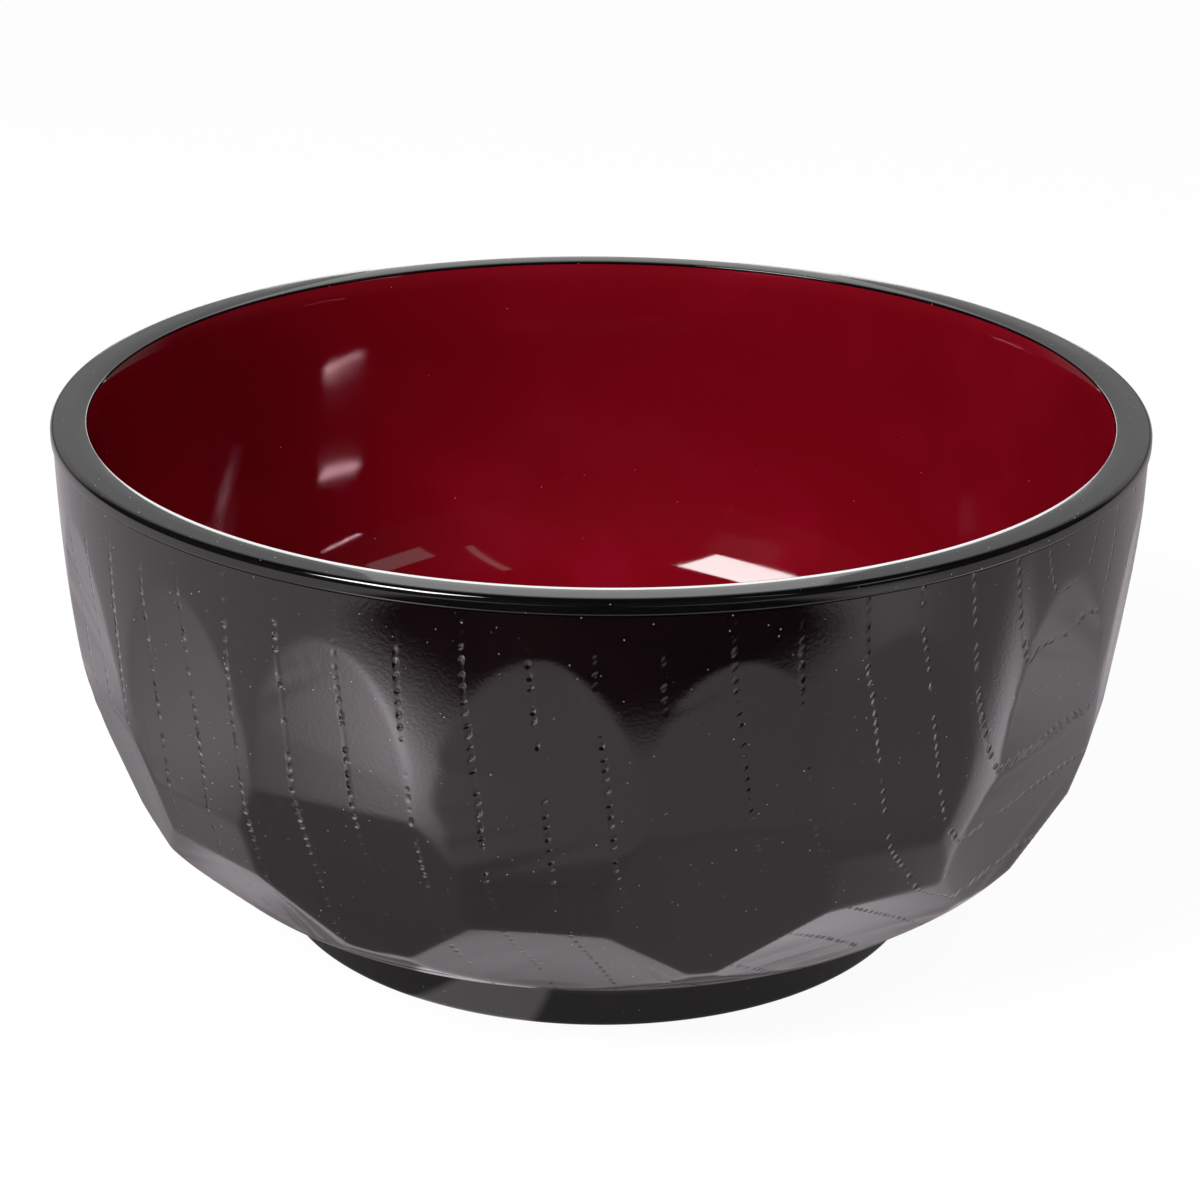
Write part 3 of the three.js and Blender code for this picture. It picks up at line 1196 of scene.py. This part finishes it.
@dataclass(frozen=True)
class TableGlow:
    """Painted light and shade that the table shows in the gloss, by its place in metres."""

    near_edge: Point = (-0.03, 0.03)
    near_levels: Point = (0.25, 0.42)
    far_level: float = 0.5
    far_edge: Point = (0.08, 0.1)
    side_gain: float = -0.9
    side_reach: float = 0.1
    tint: Colour = (1.0, 0.93, 0.98)
    spots: tuple[GlowSpot, ...] = (
        GlowSpot((-0.07, -0.096), 22.0, (0.027, 0.017), 2.6),
        GlowSpot((-0.085, -0.026), 0.0, (0.04, 0.012), 0.25),
        GlowSpot((0.1, -0.031), 5.0, (0.05, 0.009), 1.5),
        GlowSpot((0.115, 0.002), 0.0, (0.035, 0.018), 0.3),
        GlowSpot((0.14, -0.115), 0.0, (0.035, 0.03), 0.3),
    )
    front_edge: Point = (-0.146, -0.116)
    front_sides: Point = (0.1, 0.13)
    front_level: float = 0.03
    foot_edge: Point = (0.043, 0.047)
    foot_shadow_level: float = 0.22
    patch_place: float = -0.0135
    patch_edge: Point = (0.0055, 0.0075)
    foot_highlight_level: float = 0.65
    ring_edge: Point = (-0.04, -0.025)
    ring_fall: float = 0.6
    ring_sides: Point = (-0.01, 0.025)
    ring_levels: Point = (0.95, 1.15)
    open_edge: Point = (0.0495, 0.054)

    def paint(self, desk: NodeDesk) -> Socket:
        """Paints light and shade on the open table and the ring of table under the bowl: bright spots,
        lighter to the left, a bright ring, a painted shadow under the foot and darkness in front.

        Args:
            desk: the table material's desk.

        Returns:
            The brightness.
        """
        x, y, _ = desk.split(desk.add("ShaderNodeTexCoord").outputs["Object"])
        reach = desk.reach(x, y)
        side = desk.math("ABSOLUTE", x)
        away = desk.math("MAXIMUM", desk.math("MINIMUM", x, self.side_reach), -self.side_reach)
        near = desk.fade(x, *self.near_edge, *self.near_levels)
        lit = desk.fade(reach, *self.far_edge, near, self.far_level)
        lit = desk.math("MULTIPLY_ADD", away, self.side_gain, lit)
        for spot in self.spots:
            lit = desk.math("ADD", lit, spot.paint(desk, x, y))
        front = desk.math("MAXIMUM", desk.fade(y, *self.front_edge), desk.fade(side, *self.front_sides))
        lit = desk.times(lit, desk.math("MAXIMUM", front, self.front_level))
        # Painted shadow under the foot, with a painted highlight patch for the foot to mirror
        patch_off = desk.math("ABSOLUTE", desk.math("SUBTRACT", x, self.patch_place))
        patch = desk.fade(patch_off, *self.patch_edge, self.foot_highlight_level, 0.0)
        foot = desk.math("ADD", patch, self.foot_shadow_level)
        # Painted light: a bright ring of table under the bowl's edge, brighter to the right and in front
        ring = desk.fade(x, *self.ring_sides, *self.ring_levels)
        ring = desk.times(ring, desk.fade(y, *self.ring_edge, 1.0, self.ring_fall))
        under = desk.fade(reach, *self.foot_edge, foot, ring)
        return desk.fade(reach, *self.open_edge, under, lit)


@dataclass(frozen=True)
class RoomGlow:
    """How bright the room looks in the gloss, by the direction's height and depth."""

    horizon_level: float = 0.25
    wall_level: float = 0.62
    ceiling_level: float = 0.12
    wall_edge: Point = (0.1, 0.26)
    ceiling_edge: Point = (0.5, 0.9)
    front_edge: Point = (0.45, 0.75)
    front_level: float = 0.06

    def paint(self, desk: NodeDesk) -> Socket:
        """Paints the room dim at the horizon, light above it, and dark overhead and in front.

        Args:
            desk: the world's desk.

        Returns:
            The brightness.
        """
        _, depth, height = desk.split(desk.add("ShaderNodeTexCoord").outputs["Generated"])
        wall = desk.fade(height, *self.wall_edge, self.horizon_level, self.wall_level)
        ceiling = desk.fade(height, *self.ceiling_edge, 1.0, self.ceiling_level / self.wall_level)
        front = desk.fade(depth, *self.front_edge, self.front_level, 1.0)
        return desk.times(desk.times(wall, ceiling), front)


@dataclass
class Studio:
    """White table and surround, soft lamps and the camera."""

    target: tuple[float, float, float] = (0.00003, 0.0, 0.03406)
    distance: float = 0.35175
    elevation: float = 21.82
    roll: float = 0.5
    lens: float = 93.34
    sensor: float = 36.0
    nearest_seen: float = 0.01
    table_size: float = 8.0
    table_shade: float = 0.85
    white_level: float = 1.06
    shadow_share: float = 0.1
    fill: float = 0.04
    table_glow: TableGlow = TableGlow()
    room_glow: RoomGlow = RoomGlow()
    lamps: tuple[Lamp, ...] = (
        Lamp("left_light", -45.0, 40.0, 0.9, 0.25, 0.25, 6.8),
        Lamp("right_light", 45.0, 55.0, 0.9, 0.25, 0.25, 2.3),
        Lamp("left_mirror", -55.8, 55.5, 0.77, 0.3, 0.2, 3.8, Shows.FIRST_MIRROR),
        Lamp("back_mirror", 180.0, 12.0, 0.307, 0.24, 0.062, 0.13, Shows.FIRST_MIRROR),
        Lamp("high_mirror", 180.0, 23.4, 0.327, 0.1, 0.11, 0.02, Shows.FIRST_MIRROR),
        Lamp("left_echo", -41.0, 30.0, 0.8, 0.28, 0.04, 14.0, Shows.LATER_MIRROR, (1.0, 0.58, 0.66)),
        Lamp("right_mirror", 65.0, 38.5, 0.8, 0.22, 0.12, 0.08, Shows.FIRST_MIRROR),
        Lamp("strip_mirror", 42.0, 52.0, 0.8, 0.025, 0.32, 0.03, Shows.FIRST_MIRROR),
    )

    def camera(self) -> None:
        """Adds the camera at the photograph's angle."""
        lean = Matrix.Rotation(math.radians(90.0 - self.elevation), 4, "X")
        turn = lean @ Matrix.Rotation(math.radians(self.roll), 4, "Z")
        place = Vector(self.target) + turn.col[2].to_3d() * self.distance
        data = bpy.data.cameras.new("photo_camera")
        data.lens = self.lens
        data.sensor_width = self.sensor
        data.clip_start = self.nearest_seen
        view = bpy.data.objects.new("photo_camera", data)
        bpy.context.scene.collection.objects.link(view)
        view.matrix_world = Matrix.Translation(place) @ turn
        bpy.context.scene.camera = view

    def table(self) -> None:
        """Adds the white table, which keeps the bowl's shadow and shows painted light and shade in the
        gloss.
        """
        bpy.ops.object.select_all(action="DESELECT")
        bpy.ops.mesh.primitive_plane_add(size=self.table_size)
        table = bpy.context.object
        table.name = "white_table"
        material = bpy.data.materials.new("white_table")
        material.use_nodes = True
        desk = NodeDesk(material.node_tree)
        desk.tree.nodes.clear()
        path = desk.add("ShaderNodeLightPath")
        matt = desk.add("ShaderNodeBsdfDiffuse")
        matt.inputs["Color"].default_value = (self.table_shade, self.table_shade, self.table_shade, 1.0)
        white = desk.emission(self.white_level)
        # In the gloss the table shows painted light and shade in place of its lit white
        glow = desk.emission(self.table_glow.paint(desk), self.table_glow.tint)
        seen = desk.blend(self.shadow_share, white, matt.outputs["BSDF"])
        direct = desk.blend(path.outputs[Ray.CAMERA.value], matt.outputs["BSDF"], seen)
        mirrored = desk.blend(path.outputs[Ray.GLOSSY.value], direct, glow)
        leave = desk.add("ShaderNodeOutputMaterial")
        desk.feed(leave.inputs["Surface"], mirrored)
        table.data.materials.append(material)

    def surround(self) -> None:
        """Sets the world: white to the camera, the room in the gloss, and a plain soft fill."""
        world = bpy.data.worlds.new("white_surround")
        bpy.context.scene.world = world
        world.use_nodes = True
        desk = NodeDesk(world.node_tree)
        desk.tree.nodes.clear()
        path = desk.add("ShaderNodeLightPath")
        glossy = path.outputs[Ray.GLOSSY.value]
        clear = desk.math("ADD", path.outputs[Ray.CAMERA.value], path.outputs[Ray.TRANSMISSION.value])
        soft = desk.math("SUBTRACT", desk.math("SUBTRACT", 1.0, clear), glossy)
        strength = desk.math("MULTIPLY_ADD", glossy, self.room_glow.paint(desk), clear)
        light = desk.add("ShaderNodeBackground")
        desk.feed(light.inputs["Strength"], desk.math("MULTIPLY_ADD", soft, self.fill, strength))
        leave = desk.add("ShaderNodeOutputWorld")
        desk.feed(leave.inputs["Surface"], light.outputs["Background"])

    def set_up(self) -> None:
        """Sets the view, the camera, the table, the surround and the lamps."""
        bpy.context.scene.view_settings.view_transform = "Standard"
        self.camera()
        self.table()
        self.surround()
        for lamp in self.lamps:
            lamp.light()


def main() -> None:
    """Builds the stage and the bowl's pieces."""
    logging.basicConfig(level=logging.INFO, format="%(name)s: %(message)s")
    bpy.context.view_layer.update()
    sizes = BowlFrame.read()
    Studio().set_up()
    pieces = (
        Cup(sizes, "carved_cup", "bowl_body", Slot.BLACK, BLACK_PORED),
        Lining(sizes, "lining_shell", "red_lining", Slot.RED, RED_GLOSS),
        Lip(sizes, "smooth_lip", "rim_band", Slot.BLACK, BLACK_PLAIN),
        Foot(sizes, "turned_foot", "foot_ring", Slot.BLACK, BLACK_PLAIN),
    )
    for part in pieces:
        made = part.make()
        log.info("%s: %d faces in place of %s", made.name, len(made.data.polygons), part.node)


if __name__ == "__main__":
    main()
